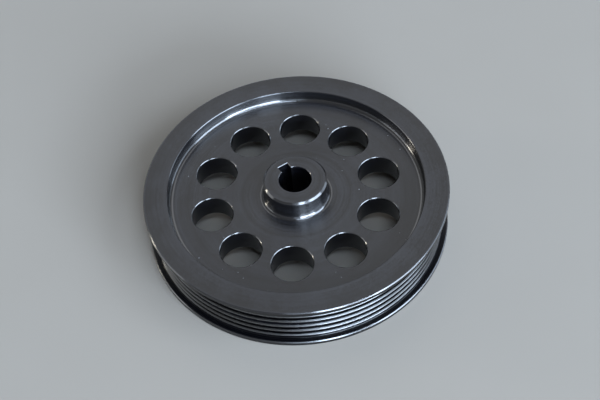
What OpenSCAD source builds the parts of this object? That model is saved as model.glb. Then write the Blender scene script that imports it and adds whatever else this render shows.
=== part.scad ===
// Power steering pump pulley, turned and milled from one aluminium billet.
// A grooved rim between two flanges, a drilled web and a keyed hub, all one piece.
// The axis is Z. The lower flange's flat face lies on z = 0 and the keyway points along +Y.

/* [Rim] */
// Diameter over the two flanges
outer_d = 140; // [136:0.5:180]
// Height of each flange above the ribs
flange_h = 2.8; // [1:0.1:3]
// Thickness of each flange
flange_w = 2.4; // [1.6:0.1:4]
// Chamfer on both outer edges of each flange
flange_edge = 0.4; // [0.2:0.05:1]
// Thickness of the rim, from the recess inside it to the flanges' outer edges
rim_t = 11; // [8:0.5:13]
// Chamfer round the mouth of each recess
recess_edge = 0.25; // [0.2:0.05:1]
// Fillet between the web and the rim
recess_fillet = 2; // [0.5:0.1:3]

/* [Belt grooves] */
// Number of V grooves
groove_count = 5; // [3:1:8]
// Distance from one groove to the next
groove_pitch = 3.56; // [3.2:0.02:4.4]
// Angle between the two sides of a groove
groove_angle = 40; // [36:1:44]
// Width of the rib between two grooves, at its crest
crest_w = 0.5; // [0.4:0.05:1]
// Rounding of the crest's two corners
crest_radius = 0.25; // [0.1:0.05:0.3]
// Rounding at the bottom of a groove
root_radius = 0.5; // [0.2:0.05:0.6]
// Plain band between the outermost groove and its flange
land_w = 1.55; // [1:0.05:5]
// Fillet between that band and the flange
land_fillet = 0.4; // [0.1:0.05:0.8]

/* [Web] */
// Thickness of the web
web_t = 11; // [4:0.5:11]
// Depth of the web's face below the rim's upper face
front_recess = 5.9; // [2:0.1:6]
// Number of lightening holes
hole_count = 10; // [4:1:10]
// Diameter of each lightening hole
hole_d = 19; // [8:0.5:21]
// Diameter of the circle that the holes lie on
hole_circle_d = 79.4; // [70:0.1:82]
// Chamfer on both ends of each hole
hole_edge = 0.25; // [0.1:0.05:1]

/* [Hub] */
// Diameter of the hub
hub_d = 29.2; // [26:0.1:38]
// Height of the hub above the web's face
hub_h = 10.3; // [3:0.1:20]
// Chamfer on the hub's outer edge
hub_edge = 0.8; // [0.2:0.05:1.5]
// Fillet at the foot of the hub
hub_fillet = 2; // [0.3:0.1:3]
// Diameter of the bore
bore_d = 15; // [10:0.5:17]
// Width of the keyway
key_w = 5; // [3:0.1:6]
// Depth of the keyway beyond the bore
key_depth = 2.8; // [1:0.1:3]
// Chamfer on the ends of the bore and the keyway
bore_edge = 0.2; // [0.1:0.05:0.6]

/* [Hidden] */
$fn = 144;
// Overshoot of every cut past the face it cuts, and overlap of joined pieces
over = 1;
// Least height that a fillet or chamfer leaves of the wall it is on
plain = 0.1;

outer_r = outer_d / 2;
rib_r = outer_r - flange_h;
// The recess on both faces leaves the rim its thickness
recess_d = outer_d - 2 * rim_t;
recess_r = recess_d / 2;
hub_r = hub_d / 2;
bore_r = bore_d / 2;

// Groove section, from the crest down to its rounded root
half_angle = groove_angle / 2;
mouth_w = groove_pitch - crest_w;
apex_r = rib_r - mouth_w / 2 / tan(half_angle);
root_r = apex_r + root_radius / sin(half_angle);
corner_bend = tan((90 - half_angle) / 2);
crest_round = min(crest_radius, (crest_w - plain) / 2 / corner_bend);

// Heights, from the lower flange's face upwards
grooves_w = (groove_count - 1) * groove_pitch + mouth_w;
rim_w = grooves_w + 2 * (land_w + flange_w);
web_top = rim_w - front_recess;
web_bottom = web_top - web_t;
hub_top = web_top + hub_h;
key_y = bore_r + key_depth;

// Small edges and fillets, limited by the wall that each one is on
flange_break = min(flange_edge, (flange_w - plain) / 2, flange_h - plain);
land_round = min(land_fillet, land_w - plain - crest_round * corner_bend);
front_fillet = min(recess_fillet, front_recess - recess_edge - plain);
back_fillet = min(recess_fillet, web_bottom - recess_edge - plain);
hub_round = min(hub_fillet, hub_h - hub_edge - plain);

// Ring section from radius r0 to r1 and from height z0 to z1
module ring(r0, r1, z0, z1) {
    translate([r0, z0]) square([r1 - r0, z1 - z0]);
}

// Cutter for a 45 degree edge at the corner (r, z); dr and dz point into the metal
module edge_cut(r, z, size, dr, dz) {
    polygon([
        [r + dr * (size + over), z - dz * over],
        [r - dr * over, z + dz * (size + over)],
        [r - dr * over, z - dz * over]
    ]);
}

// Concave fillet in the corner (r, z); dr and dz point out into the free space
module fillet(r, z, radius, dr, dz) {
    side = radius + over;
    difference() {
        translate([dr > 0 ? r - over : r - radius, dz > 0 ? z - over : z - radius]) square(side);
        translate([r + dr * radius, z + dz * radius]) circle(radius);
    }
}

// Section of one belt groove, centred on height z
module groove_cut(z) {
    half_out = mouth_w / 2 + over * tan(half_angle);
    flank_r = root_r - root_radius * sin(half_angle);
    flank_z = root_radius * cos(half_angle);
    polygon([
        [rib_r + over, z - half_out],
        [rib_r + over, z + half_out],
        [flank_r, z + flank_z],
        [flank_r, z - flank_z]
    ]);
    translate([root_r, z]) circle(root_radius);
}

// Cutter that rounds the crest corner at height z; side is +1 where the rib lies above it
module crest_cut(z, side) {
    run = crest_round * corner_bend;
    centre = [rib_r - crest_round, z + side * run];
    difference() {
        polygon([
            centre,
            [rib_r, z + side * run],
            [rib_r + over, z + side * run],
            [rib_r + over, z - side * run],
            [rib_r - run * cos(half_angle), z - side * run * sin(half_angle)]
        ]);
        translate(centre) circle(crest_round);
    }
}

module rim_section() {
    difference() {
        ring(recess_r, outer_r, 0, rim_w);
        ring(rib_r, outer_r + over, flange_w, rim_w - flange_w);
        for (i = [0 : groove_count - 1]) {
            z = flange_w + land_w + mouth_w / 2 + i * groove_pitch;
            groove_cut(z);
            crest_cut(z - mouth_w / 2, -1);
            crest_cut(z + mouth_w / 2, 1);
        }
        for (z = [0, rim_w - flange_w]) {
            edge_cut(outer_r, z, flange_break, -1, 1);
            edge_cut(outer_r, z + flange_w, flange_break, -1, -1);
        }
        edge_cut(recess_r, 0, recess_edge, 1, 1);
        edge_cut(recess_r, rim_w, recess_edge, 1, -1);
    }
    fillet(rib_r, flange_w, land_round, 1, 1);
    fillet(rib_r, rim_w - flange_w, land_round, 1, -1);
}

module web_section() {
    ring(bore_r, recess_r + over, web_bottom, web_top);
    fillet(recess_r, web_top, front_fillet, -1, 1);
    fillet(recess_r, web_bottom, back_fillet, -1, -1);
}

module hub_section() {
    difference() {
        ring(bore_r, hub_r, web_bottom, hub_top);
        edge_cut(hub_r, hub_top, hub_edge, -1, -1);
    }
    fillet(hub_r, web_top, hub_round, 1, 1);
}

// The turned body, before any milling
module turned_body() {
    rotate_extrude() difference() {
        union() {
            rim_section();
            web_section();
            hub_section();
        }
        edge_cut(bore_r, hub_top, bore_edge, 1, -1);
        edge_cut(bore_r, web_bottom, bore_edge, 1, 1);
    }
}

// Lightening hole with a chamfer at each end, on the +Y side of the axis
module lightening_hole() {
    r = hole_d / 2;
    flare = hole_edge + over;
    translate([0, hole_circle_d / 2, 0]) {
        translate([0, 0, web_bottom - over]) cylinder(h = web_t + 2 * over, r = r);
        translate([0, 0, web_top - hole_edge]) cylinder(h = flare, r1 = r, r2 = r + flare);
        translate([0, 0, web_bottom - over]) cylinder(h = flare, r1 = r + flare, r2 = r);
    }
}

// Flared mouth of the keyway at the face z; up is +1 at the upper face and -1 at the lower one
module key_mouth(z, up) {
    flare = bore_edge + over;
    intersection() {
        translate([0, key_y + flare, 0]) rotate([90, 0, 0]) linear_extrude(key_y + flare) polygon([
            [-key_w / 2, z - up * bore_edge],
            [key_w / 2, z - up * bore_edge],
            [key_w / 2 + flare, z + up * over],
            [-key_w / 2 - flare, z + up * over]
        ]);
        translate([-key_w / 2 - flare, 0, 0]) rotate([90, 0, 90]) linear_extrude(key_w + 2 * flare) polygon([
            [0, z - up * bore_edge],
            [key_y, z - up * bore_edge],
            [key_y + flare, z + up * over],
            [0, z + up * over]
        ]);
    }
}

module keyway() {
    translate([-key_w / 2, 0, web_bottom - over]) cube([key_w, key_y, hub_top - web_bottom + 2 * over]);
    key_mouth(hub_top, 1);
    key_mouth(web_bottom, -1);
}

module pulley() {
    color([0.16, 0.16, 0.18]) difference() {
        turned_body();
        for (i = [0 : hole_count - 1]) rotate([0, 0, i * 360 / hole_count]) lightening_hole();
        keyway();
    }
}

pulley();
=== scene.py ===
"""Finish, light and camera for the power steering pump pulley.

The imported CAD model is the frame. One mesh with true surface normals stands for its node, so that every
turned edge shades cleanly. Lengths are in millimetres here, and MM turns them into metres.
"""

import math
from typing import NamedTuple

import bpy
from mathutils import Matrix, Vector


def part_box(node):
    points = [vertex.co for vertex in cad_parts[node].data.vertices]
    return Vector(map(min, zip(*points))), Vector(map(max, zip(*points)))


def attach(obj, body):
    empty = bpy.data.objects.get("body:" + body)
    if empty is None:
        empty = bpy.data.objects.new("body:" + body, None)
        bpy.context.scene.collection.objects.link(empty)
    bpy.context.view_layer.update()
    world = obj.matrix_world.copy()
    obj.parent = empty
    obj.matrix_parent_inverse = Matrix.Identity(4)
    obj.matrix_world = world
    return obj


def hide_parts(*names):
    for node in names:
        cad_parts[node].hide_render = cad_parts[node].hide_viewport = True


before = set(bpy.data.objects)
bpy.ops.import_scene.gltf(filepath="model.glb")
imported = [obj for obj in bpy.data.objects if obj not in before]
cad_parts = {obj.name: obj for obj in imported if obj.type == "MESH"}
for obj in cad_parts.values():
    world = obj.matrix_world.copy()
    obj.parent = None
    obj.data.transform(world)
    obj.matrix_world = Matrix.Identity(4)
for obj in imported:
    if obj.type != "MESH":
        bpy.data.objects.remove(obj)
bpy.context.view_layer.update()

MM = 0.001
low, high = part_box("pulley")

# Sizes of the pulley; its outer radius and its height come from the frame
OUTER_R = (high[0] - low[0]) / 2 / MM
FLANGE_H = 2.8
FLANGE_W = 2.4
FLANGE_EDGE = 0.4
RIM_T = 11
RECESS_EDGE = 0.25
RECESS_FILLET = 2
GROOVE_COUNT = 5
GROOVE_PITCH = 3.56
GROOVE_ANGLE = 40
CREST_W = 0.5
CREST_R = 0.25
ROOT_R = 0.5
# How far down a rib's upper side the bright finish of its crest goes
SHOULDER = 0.65
LAND_W = 1.55
LAND_FILLET = 0.4
WEB_T = 11
FRONT_RECESS = 5.9
HOLE_COUNT = 10
HOLE_R = 9.5
HOLE_CIRCLE_R = 39.7
HOLE_EDGE = 0.25
HUB_R = 14.6
HUB_EDGE = 0.8
HUB_FILLET = 2
BORE_R = 7.5
KEY_W = 5
KEY_DEPTH = 2.8
BORE_EDGE = 0.2

RIM_W = GROOVE_COUNT * GROOVE_PITCH - CREST_W + 2 * (LAND_W + FLANGE_W)
WEB_TOP = RIM_W - FRONT_RECESS
WEB_BOTTOM = WEB_TOP - WEB_T
HUB_TOP = high[2] / MM
RECESS_R = OUTER_R - RIM_T
RIB_R = OUTER_R - FLANGE_H
KEY_Y = BORE_R + KEY_DEPTH

# Mesh steps: one turned step is a degree, and a hole's cell has four sides of equal count
TURN = 360
CELL = TURN // HOLE_COUNT
CURVE_STEPS = 8
CREST_STEPS = 5
# Corners that agree to this many decimals are one corner
CORNER_DECIMALS = 4


class Finish(NamedTuple):
    """One grade of black anodise. Lengths are in millimetres."""

    name: str
    tone: tuple
    roughness: float
    # Refractive index, which sets how much it mirrors
    index: float
    # How strongly the marks spread a reflection across themselves
    grain: float
    mark_pitch: float
    mark_depth: float
    # Whether it varies in patches too, and not only from ring to ring
    mottled: bool


FINISHES = (
    Finish("faced_black", (0.016, 0.016, 0.018), 0.24, 1.84, 0.9, 0.14, 0.0001, True),
    Finish("turned_black", (0.003, 0.003, 0.004), 0.20, 2.7, 0.85, 0.10, 0.00005, False),
    Finish("grooved_black", (0.003, 0.003, 0.004), 0.17, 1.5, 1.0, 0.10, 0.00005, False),
    Finish("crest_black", (0.003, 0.003, 0.004), 0.30, 4.2, 0.75, 0.10, 0.00005, False),
    Finish("milled_black", (0.004, 0.004, 0.005), 0.20, 1.8, 0, 0.3, 0.0005, True),
    Finish("broken_black", (0.005, 0.005, 0.006), 0.20, 2.8, 0, 0.3, 0.0001, True),
)
# Their places in the list, which are the mesh's material slots. The flanges' walls and the bore's are
# GROOVED too, and BROKEN is for the holes' edges and the lower flange's upper one
FACED, TURNED, GROOVED, CREST, MILLED, BROKEN = range(len(FINISHES))

# Noise that varies a finish from ring to ring and in patches: each layer's share, size and detail
RING_LAYERS = ((0.30, 0.9, 3.0), (0.20, 6, 2.0))
PATCH_LAYERS = ((0.20, 11, 3.0), (0.30, 0.8, 2.0))
# How far the layers' sum goes either side of its middle before it counts as fully dark or light
NOISE_REACH = 0.14
# Shares of its tone and roughness that a finish has where it is darkest and where it is lightest
TONE_SHARES = (0.4, 1.6)
ROUGHNESS_SHARES = (0.94, 1.06)
# What a step up counts for in the distance across the marks, against 1 for a step out from the axis
RISE_SHARE = 1.3
# Quarter of a turn, which takes the spread from along the marks to across them
ACROSS_TURN = 0.25

# Camera, as fitted to the photograph's 600 x 400 frame
IMAGE_W, IMAGE_H = 600, 400
SENSOR_W = 36
LENS = 71.479
CAMERA_AZIMUTH = -29.48
CAMERA_ELEVATION = 50.78
CAMERA_ROLL = -5.24
CAMERA_REACH = 548.5
# Where the axis meets the web's face in the image
AIM_X, AIM_Y = 296.32, 193.46

# Lights, placed by azimuth about the axis and height angle above the floor, in degrees
LAMP_REACH = 5000
WINDOW_COLOUR = (0.66, 0.80, 1.0)
WARM_COLOUR = (1.0, 0.92, 0.76)
PANEL_COLOUR = (0.94, 0.96, 1.0)
# World light: its level at the sine of each height angle, and its tint
CEILING_LEVELS = ((0.0, 0.28), (0.3, 0.16), (0.6, 0.14), (0.78, 0.12), (1.0, 0.10))
CEILING_TINT = (0.94, 0.97, 1.0)

# Floor: its radius, how many sides it has, the size of its soft patches and the shades they drift between
FLOOR_R = 2000
FLOOR_SIDES = 72
FLOOR_PATCH = 60
FLOOR_DARK = (0.44, 0.40, 0.345, 1)
FLOOR_LIGHT = (0.46, 0.42, 0.365, 1)

# Dust specks: their spacing, largest radius, the share of places that hold one, how far from the web's
# upper face they may lie, and their colour
DUST_SPACING = 5
DUST_R = 0.26
DUST_SHARE = 0.12
DUST_LAYER = 0.1
DUST_COLOUR = (0.30, 0.31, 0.32, 1)


def polar(radius, angle, z=0.0):
    """Point at that distance and angle in degrees round the axis."""
    turn = math.radians(angle)
    return (radius * math.cos(turn), radius * math.sin(turn), z)


class Section:
    """Half section of a turned surface, followed with the metal on the left."""

    def __init__(self, r, z):
        self.at = (r, z)
        self.parts = []

    def line(self, r, z, finish=TURNED):
        """Goes straight on to radius r and height z."""
        dr, dz = r - self.at[0], z - self.at[1]
        size = math.hypot(dr, dz)
        normal = (dz / size, -dr / size)
        self.parts.append((self.at, (r, z), normal, normal, finish))
        self.at = (r, z)

    def arc(self, radius, start, end, steps=CURVE_STEPS, finish=TURNED):
        """Goes on round an arc, from angle start to end in degrees about the arc's centre."""
        outward = 1 if end > start else -1
        turns = [math.radians(start + (end - start) * i / steps) for i in range(steps + 1)]
        rays = [(math.cos(t), math.sin(t)) for t in turns]
        centre = (self.at[0] - radius * rays[0][0], self.at[1] - radius * rays[0][1])
        for before, after in zip(rays, rays[1:]):
            point = (centre[0] + radius * after[0], centre[1] + radius * after[1])
            normals = [(outward * ray[0], outward * ray[1]) for ray in (before, after)]
            self.parts.append((self.at, point, *normals, finish))
            self.at = point


class Shell:
    """Faces of one closed surface, with shared corners and a true normal at every face corner."""

    def __init__(self):
        self.index = {}
        self.faces = []
        self.normals = []
        self.finishes = []

    def face(self, corners, normals, finish):
        """One face, whose corners join those already at the same places."""
        keys = [tuple(round(c, CORNER_DECIMALS) for c in corner) for corner in corners]
        self.faces.append([self.index.setdefault(key, len(self.index)) for key in keys])
        self.normals.extend(normals)
        self.finishes.append(finish)

    def band(self, first, second, first_normals, second_normals, finish):
        """Quads between two closed loops of as many points. A normals list has a pair for each step."""
        count = len(first)
        for i in range(count):
            j = (i + 1) % count
            (a, b), (d, c) = first_normals[i], second_normals[i]
            self.face([first[i], first[j], second[j], second[i]], [a, b, c, d], finish)

    def turned(self, section):
        """Turns a section round the axis."""
        for start, end, start_normal, end_normal, finish in section.parts:
            loops = [[polar(r, i, z) for i in range(TURN)] for r, z in (start, end)]
            pairs = []
            for nr, nz in (start_normal, end_normal):
                around = [polar(nr, i, nz) for i in range(TURN + 1)]
                pairs.append(list(zip(around, around[1:])))
            self.band(*loops, *pairs, finish)

    def build(self, name):
        """The Blender object that holds all the faces."""
        mesh = bpy.data.meshes.new(name)
        mesh.from_pydata([Vector(p) * MM for p in self.index], [], self.faces)
        mesh.polygons.foreach_set("use_smooth", [True] * len(self.faces))
        mesh.polygons.foreach_set("material_index", self.finishes)
        mesh.normals_split_custom_set([Vector(n).normalized() for n in self.normals])
        piece = bpy.data.objects.new(name, mesh)
        bpy.context.scene.collection.objects.link(piece)
        return piece


def groove(section, z):
    """One V groove centred on height z, with rounded crest corners and a rounded root."""
    half = GROOVE_ANGLE / 2
    sine, cosine = math.sin(math.radians(half)), math.cos(math.radians(half))
    mouth = (GROOVE_PITCH - CREST_W) / 2
    root = RIB_R - mouth * cosine / sine + ROOT_R / sine
    run = CREST_R * math.tan(math.radians((90 - half) / 2))
    section.line(RIB_R, z - mouth - run, GROOVED)
    section.arc(CREST_R, 0, 90 - half, CREST_STEPS, CREST)
    section.line(RIB_R - SHOULDER, z - mouth + SHOULDER * sine / cosine, CREST)
    section.line(root - ROOT_R * sine, z - ROOT_R * cosine, GROOVED)
    section.arc(ROOT_R, 270 - half, 90 + half, finish=GROOVED)
    section.line(RIB_R - run * cosine, z + mouth - run * sine, GROOVED)
    section.arc(CREST_R, half - 90, 0, CREST_STEPS, CREST)


def rim_section():
    """The rim, from the web's lower face round the outside to its upper face."""
    s = Section(RECESS_R - RECESS_FILLET, WEB_BOTTOM)
    s.arc(RECESS_FILLET, 90, 0)
    s.line(RECESS_R, RECESS_EDGE)
    s.line(RECESS_R + RECESS_EDGE, 0)
    s.line(OUTER_R - FLANGE_EDGE, 0, FACED)
    s.line(OUTER_R, FLANGE_EDGE)
    s.line(OUTER_R, FLANGE_W - FLANGE_EDGE, GROOVED)
    s.line(OUTER_R - FLANGE_EDGE, FLANGE_W, BROKEN)
    s.line(RIB_R + LAND_FILLET, FLANGE_W, GROOVED)
    s.arc(LAND_FILLET, 270, 180, finish=GROOVED)
    mouth = GROOVE_PITCH - CREST_W
    for i in range(GROOVE_COUNT):
        groove(s, FLANGE_W + LAND_W + mouth / 2 + i * GROOVE_PITCH)
    s.line(RIB_R, RIM_W - FLANGE_W - LAND_FILLET, GROOVED)
    s.arc(LAND_FILLET, 180, 90, finish=GROOVED)
    s.line(OUTER_R - FLANGE_EDGE, RIM_W - FLANGE_W, GROOVED)
    s.line(OUTER_R, RIM_W - FLANGE_W + FLANGE_EDGE)
    s.line(OUTER_R, RIM_W - FLANGE_EDGE, GROOVED)
    s.line(OUTER_R - FLANGE_EDGE, RIM_W)
    s.line(RECESS_R + RECESS_EDGE, RIM_W, FACED)
    s.line(RECESS_R, RIM_W - RECESS_EDGE)
    s.line(RECESS_R, WEB_TOP + RECESS_FILLET)
    s.arc(RECESS_FILLET, 0, -90)
    return s


def hub_section():
    """The hub's outside, from the web's upper face to its flat end."""
    s = Section(HUB_R + HUB_FILLET, WEB_TOP)
    s.arc(HUB_FILLET, 270, 180)
    s.line(HUB_R, HUB_TOP - HUB_EDGE)
    s.line(HUB_R - HUB_EDGE, HUB_TOP)
    return s


def cell_outline(middle):
    """Flat points, counterclockwise, round the web's share about the hole at that angle."""
    inner, outer = HUB_R + HUB_FILLET, RECESS_R - RECESS_FILLET
    half = CELL / 2
    foot = HOLE_CIRCLE_R * math.cos(math.radians(half))
    offset = HOLE_CIRCLE_R * math.sin(math.radians(half))
    near, far = (math.atan((r - foot) / offset) for r in (inner, outer))
    side = [foot + offset * math.tan(near + (far - near) * i / CELL) for i in range(CELL + 1)]
    side[0], side[-1] = inner, outer
    first, last = middle - CELL // 2, middle + CELL // 2
    points = [polar(outer, first + i) for i in range(CELL)]
    points += [polar(r, last) for r in side[:0:-1]]
    points += [polar(inner, last - i) for i in range(CELL)]
    points += [polar(r, first) for r in side[:-1]]
    return points


def lift(points, z):
    """The same points at height z."""
    return [(p[0], p[1], z) for p in points]


def flat_normals(up, count):
    """Normals for a level band of that many steps; up is 1 for an upper face and -1 for a lower one."""
    return [((0, 0, up), (0, 0, up))] * count


def web_cell(shell, middle):
    """Both faces of the web about one lightening hole, and the hole's wall and chamfers."""
    outline = cell_outline(middle)
    cx, cy, _ = polar(HOLE_CIRCLE_R, middle)
    turns = [math.atan2(y - cy, x - cx) for x, y, _ in outline]
    rays = [(math.cos(t), math.sin(t)) for t in turns]

    def ring(radius, z):
        return [(cx + radius * x, cy + radius * y, z) for x, y in rays]

    def pairs(slope):
        around = [(-x, -y, slope) for x, y in rays]
        return list(zip(around, around[1:] + around[:1]))

    up, down = flat_normals(1, len(rays)), flat_normals(-1, len(rays))
    mouth = HOLE_R + HOLE_EDGE
    mouth_top, mouth_bottom = ring(mouth, WEB_TOP), ring(mouth, WEB_BOTTOM)
    wall_top, wall_bottom = ring(HOLE_R, WEB_TOP - HOLE_EDGE), ring(HOLE_R, WEB_BOTTOM + HOLE_EDGE)
    shell.band(lift(outline, WEB_TOP), mouth_top, up, up, FACED)
    shell.band(mouth_top, wall_top, pairs(1), pairs(1), BROKEN)
    shell.band(wall_top, wall_bottom, pairs(0), pairs(0), MILLED)
    shell.band(wall_bottom, mouth_bottom, pairs(-1), pairs(-1), BROKEN)
    shell.band(mouth_bottom, lift(outline, WEB_BOTTOM), down, down, FACED)


def bore_outline(grow):
    """Points round the bore and its keyway, each wall moved out by grow, and each step's wall normals."""
    radius, half, end = BORE_R + grow, KEY_W / 2 + grow, KEY_Y + grow
    meet = math.degrees(math.acos(half / radius))
    # The keyway's end and sides take these shares of the turn, about the +Y direction
    end_steps, side_steps = 30, 6
    round_steps = TURN - end_steps - 2 * side_steps
    points, normals = [], []

    def wall(start, stop, steps, normal):
        for i in range(steps):
            points.append(tuple(a + (b - a) * i / steps for a, b in zip(start, stop)))
            normals.append((normal, normal))

    corner_y = radius * math.sin(math.radians(meet))
    wall((half, corner_y), (half, end), side_steps, (-1, 0))
    wall((half, end), (-half, end), end_steps, (0, -1))
    wall((-half, end), (-half, corner_y), side_steps, (1, 0))
    sweep = 180 + 2 * meet
    angles = [180 - meet + sweep * i / round_steps for i in range(round_steps + 1)]
    for a, b in zip(angles, angles[1:]):
        points.append(polar(radius, a)[:2])
        normals.append(tuple((-x, -y) for x, y, _ in (polar(1, a), polar(1, b))))
    # Turned so that step i lies at about i degrees
    start = 90 - end_steps // 2 - side_steps
    return points[-start:] + points[:-start], normals[-start:] + normals[:-start]


def bore_wall(shell):
    """The hub's flat end, the bore with its keyway, and the web's lower face next to them."""
    wall, facing = bore_outline(0)
    mouth, _ = bore_outline(BORE_EDGE)

    def pairs(slope):
        return [tuple((x, y, slope) for x, y in pair) for pair in facing]

    def circle(radius, z):
        return [polar(radius, i, z) for i in range(TURN)]

    up, down = flat_normals(1, TURN), flat_normals(-1, TURN)
    mouth_top, mouth_bottom = lift(mouth, HUB_TOP), lift(mouth, WEB_BOTTOM)
    wall_top, wall_bottom = lift(wall, HUB_TOP - BORE_EDGE), lift(wall, WEB_BOTTOM + BORE_EDGE)
    shell.band(circle(HUB_R - HUB_EDGE, HUB_TOP), mouth_top, up, up, FACED)
    shell.band(mouth_top, wall_top, pairs(1), pairs(1), TURNED)
    shell.band(wall_top, wall_bottom, pairs(0), pairs(0), GROOVED)
    shell.band(wall_bottom, mouth_bottom, pairs(-1), pairs(-1), TURNED)
    shell.band(mouth_bottom, circle(HUB_R + HUB_FILLET, WEB_BOTTOM), down, down, FACED)


class Nodes:
    """Short hand for wiring one material's nodes."""

    def __init__(self, name):
        self.material = bpy.data.materials.new(name)
        self.material.use_nodes = True
        self.tree = self.material.node_tree
        self.shader = self.tree.nodes["Principled BSDF"]

    def add(self, kind, inputs=(), **settings):
        """New node of that kind, with its settings made first and its inputs filled or linked after."""
        made = self.tree.nodes.new(kind)
        for key, value in settings.items():
            setattr(made, key, value)
        for key, value in dict(inputs).items():
            self.put(made.inputs[key], value)
        return made

    def put(self, socket, value):
        if isinstance(value, bpy.types.NodeSocket):
            self.tree.links.new(value, socket)
        else:
            socket.default_value = value

    def math(self, operation, *values):
        return self.add("ShaderNodeMath", dict(enumerate(values)), operation=operation).outputs[0]

    def blend(self, amount, a, b, span=(0, 1)):
        """a where amount is at the span's start and b where it is at its end, for numbers."""
        ends = {"From Min": span[0], "From Max": span[1], "To Min": a, "To Max": b}
        return self.add("ShaderNodeMapRange", {"Value": amount, **ends}).outputs["Result"]

    def mix(self, amount, a, b):
        """a where amount is 0 and b where it is 1, for colours."""
        # A Mix node set to colours takes them at inputs 6 and 7 and gives its result at output 2
        return self.add("ShaderNodeMix", {0: amount, 6: a, 7: b}, data_type="RGBA").outputs[2]

    def noise(self, scale, detail=2.0, dimensions="3D", **inputs):
        inputs = {"Scale": scale, "Detail": detail, **inputs}
        return self.add("ShaderNodeTexNoise", inputs, noise_dimensions=dimensions).outputs[0]


def dust(n, place):
    """1 on a thin scatter of small specks that lie on the web's upper face, and 0 elsewhere."""
    scale = {"Vector": place, "Scale": 1 / (DUST_SPACING * MM)}
    cells = n.add("ShaderNodeTexVoronoi", scale, voronoi_dimensions="2D")
    chance = n.add("ShaderNodeSeparateColor", {0: cells.outputs["Color"]}).outputs
    reach = n.math("MULTIPLY", chance[1], DUST_R / DUST_SPACING)
    speck = n.math("LESS_THAN", cells.outputs["Distance"], reach)
    kept = n.math("GREATER_THAN", chance[0], 1 - DUST_SHARE)
    height = n.add("ShaderNodeSeparateXYZ", {0: place}).outputs[2]
    inside = n.math("COMPARE", height, WEB_TOP * MM, DUST_LAYER * MM)
    return n.math("MULTIPLY", speck, n.math("MULTIPLY", kept, inside))


def across_marks(n, place):
    """Distance across the turning marks, on flat, upright and sloping surfaces alike."""
    x, y, z = n.add("ShaderNodeSeparateXYZ", {0: place}).outputs
    radius = n.math("SQRT", n.math("ADD", n.math("MULTIPLY", x, x), n.math("MULTIPLY", y, y)))
    return n.math("ADD", radius, n.math("MULTIPLY", z, RISE_SHARE))


def variation(n, place, across, mottled):
    """0 where the finish is darkest and smoothest, up to 1 where it is lightest and roughest."""
    layers = []
    for share, size, detail in RING_LAYERS:
        layers.append((share, n.noise(1 / (size * MM), detail, "1D", W=across)))
    for share, size, detail in PATCH_LAYERS if mottled else ():
        layers.append((share, n.noise(1 / (size * MM), detail, Vector=place)))
    total = 0
    for share, layer in layers:
        total = n.math("ADD", total, n.math("MULTIPLY", layer, share))
    middle = sum(share for share, _ in layers) / 2
    return n.blend(total, 0, 1, (middle * (1 - NOISE_REACH), middle * (1 + NOISE_REACH)))


def black_anodised(finish):
    """Black anodised aluminium with the cutter's marks running round the axis."""
    n = Nodes(finish.name)
    place = n.add("ShaderNodeTexCoord").outputs["Object"]
    across = across_marks(n, place)
    varied = variation(n, place, across, finish.mottled)
    specks = dust(n, place)

    dark, light = ([c * share for c in finish.tone] + [1] for share in TONE_SHARES)
    n.put(n.shader.inputs["Base Color"], n.mix(specks, n.mix(varied, dark, light), DUST_COLOUR))
    smooth, rough = (finish.roughness * share for share in ROUGHNESS_SHARES)
    n.put(n.shader.inputs["Roughness"], n.blend(specks, n.blend(varied, smooth, rough), 1))
    n.put(n.shader.inputs["IOR"], finish.index)

    marks = n.noise(1 / (finish.mark_pitch * MM), 1.0, "1D", W=across)
    relief = {"Strength": 1.0, "Distance": finish.mark_depth * MM, "Height": marks}
    n.put(n.shader.inputs["Normal"], n.add("ShaderNodeBump", relief).outputs[0])
    if finish.grain:
        around = n.add("ShaderNodeTangent", direction_type="RADIAL", axis="Z").outputs[0]
        n.put(n.shader.inputs["Tangent"], around)
        n.put(n.shader.inputs["Anisotropic Rotation"], ACROSS_TURN)
        n.put(n.shader.inputs["Anisotropic"], finish.grain)
    return n.material


def make_pulley():
    """The whole pulley as one closed mesh, which stands for the CAD node."""
    shell = Shell()
    shell.turned(rim_section())
    shell.turned(hub_section())
    for i in range(HOLE_COUNT):
        web_cell(shell, 90 + i * CELL)
    bore_wall(shell)
    piece = shell.build("pulley_body")
    for finish in FINISHES:
        piece.data.materials.append(black_anodised(finish))
    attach(piece, "root")
    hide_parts("pulley")


def make_floor():
    """Plain pale floor under the pulley's lower flange."""
    mesh = bpy.data.meshes.new("floor")
    rim = [Vector(polar(FLOOR_R, i * 360 / FLOOR_SIDES)) * MM for i in range(FLOOR_SIDES)]
    mesh.from_pydata(rim, [], [list(range(FLOOR_SIDES))])
    floor = bpy.data.objects.new("floor", mesh)
    bpy.context.scene.collection.objects.link(floor)
    n = Nodes("pale_floor")
    place = n.add("ShaderNodeTexCoord").outputs["Object"]
    soft = n.noise(1 / (FLOOR_PATCH * MM), 2.0, Vector=place)
    n.put(n.shader.inputs["Base Color"], n.mix(soft, FLOOR_DARK, FLOOR_LIGHT))
    n.put(n.shader.inputs["Roughness"], 1.0)
    n.put(n.shader.inputs["Specular IOR Level"], 0.0)
    floor.data.materials.append(n.material)


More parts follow.
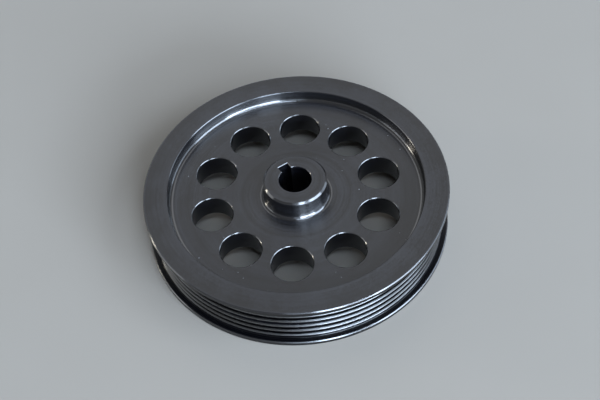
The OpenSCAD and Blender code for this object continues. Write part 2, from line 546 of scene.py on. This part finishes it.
def lamp(name, azimuth, height, wide, tall, radiance, colour):
    """Soft lamp seen from the pulley at that azimuth and height angle, wide and tall in degrees."""
    light = bpy.data.lights.new(name, "AREA")
    light.shape = "RECTANGLE"
    light.size, light.size_y = (2 * LAMP_REACH * MM * math.tan(math.radians(a / 2)) for a in (wide, tall))
    # A flat lamp's power is pi times its radiance and its area
    light.energy = radiance * math.pi * light.size * light.size_y
    light.color = colour
    holder = bpy.data.objects.new(name, light)
    rise = math.radians(height)
    away = Vector(polar(math.cos(rise), azimuth, math.sin(rise)))
    holder.location = away * LAMP_REACH * MM
    holder.rotation_mode = "QUATERNION"
    holder.rotation_quaternion = away.to_track_quat("Z", "Y")
    bpy.context.scene.collection.objects.link(holder)


def make_lights():
    """A window in several panes on the camera's right, and weaker panels and a lamp round the room."""
    # The camera's right-hand side, as an angle about the axis; the camera itself is 90 degrees before it
    right = CAMERA_AZIMUTH
    lamp("window_high", right - 66, 64, 30, 9, 9, WINDOW_COLOUR)
    lamp("window_near", right - 75, 32, 15, 20, 9, WINDOW_COLOUR)
    lamp("window_low", right - 62, 13, 42, 18, 24, WINDOW_COLOUR)
    lamp("window_edge", right - 92, 20, 20, 36, 0.8, WINDOW_COLOUR)
    lamp("window_middle", right - 26, 34, 36, 31, 5.8, WINDOW_COLOUR)
    lamp("window_far", right + 10, 13, 34, 20, 1.4, WINDOW_COLOUR)
    lamp("back_panel", right + 86, 52, 44, 40, 0.54, PANEL_COLOUR)
    lamp("left_wall", right + 175, 20, 30, 20, 0.8, PANEL_COLOUR)
    lamp("warm_lamp", right + 163, 12, 5, 8, 12, WARM_COLOUR)
    make_ceiling()


def make_ceiling():
    """World light: dim overhead, and brightest at the horizon."""
    world = bpy.data.worlds.new("studio")
    bpy.context.scene.world = world
    world.use_nodes = True
    tree = world.node_tree
    place = tree.nodes.new("ShaderNodeTexCoord")
    parts = tree.nodes.new("ShaderNodeSeparateXYZ")
    ramp = tree.nodes.new("ShaderNodeValToRGB")
    tree.links.new(place.outputs["Generated"], parts.inputs[0])
    tree.links.new(parts.outputs[2], ramp.inputs[0])
    stops = ramp.color_ramp.elements
    stops.remove(stops[0])
    for i, (at, level) in enumerate(CEILING_LEVELS):
        stop = stops[0] if i == 0 else stops.new(at)
        stop.position = at
        stop.color = [level * c for c in CEILING_TINT] + [1]
    background = tree.nodes["Background"]
    tree.links.new(ramp.outputs[0], background.inputs["Color"])


def make_camera():
    """Camera that looks at the pulley as the photograph's did."""
    azimuth, elevation = math.radians(CAMERA_AZIMUTH), math.radians(CAMERA_ELEVATION)
    back = Vector((
        math.sin(azimuth) * math.cos(elevation),
        -math.cos(azimuth) * math.cos(elevation),
        math.sin(elevation),
    ))
    right = Vector((math.cos(azimuth), math.sin(azimuth), 0))
    level = Matrix((right, back.cross(right), back)).transposed()
    turned = (level @ Matrix.Rotation(math.radians(CAMERA_ROLL), 3, "Z")).to_quaternion()
    data = bpy.data.cameras.new("camera")
    data.sensor_width = SENSOR_W
    data.lens = LENS
    # The aim is a little off the image's centre
    step = SENSOR_W / IMAGE_W / LENS
    aim = Vector(((AIM_X - IMAGE_W / 2) * step, (IMAGE_H / 2 - AIM_Y) * step, -1))
    offset = Vector((0, 0, -1)).rotation_difference(aim)
    camera = bpy.data.objects.new("camera", data)
    camera.rotation_mode = "QUATERNION"
    camera.rotation_quaternion = turned @ offset.inverted()
    camera.location = (Vector((0, 0, WEB_TOP)) + back * CAMERA_REACH) * MM
    bpy.context.scene.collection.objects.link(camera)
    bpy.context.scene.camera = camera


make_pulley()
make_floor()
make_lights()
make_camera()
bpy.context.scene.view_settings.view_transform = "Standard"

bpy.context.view_layer.update()
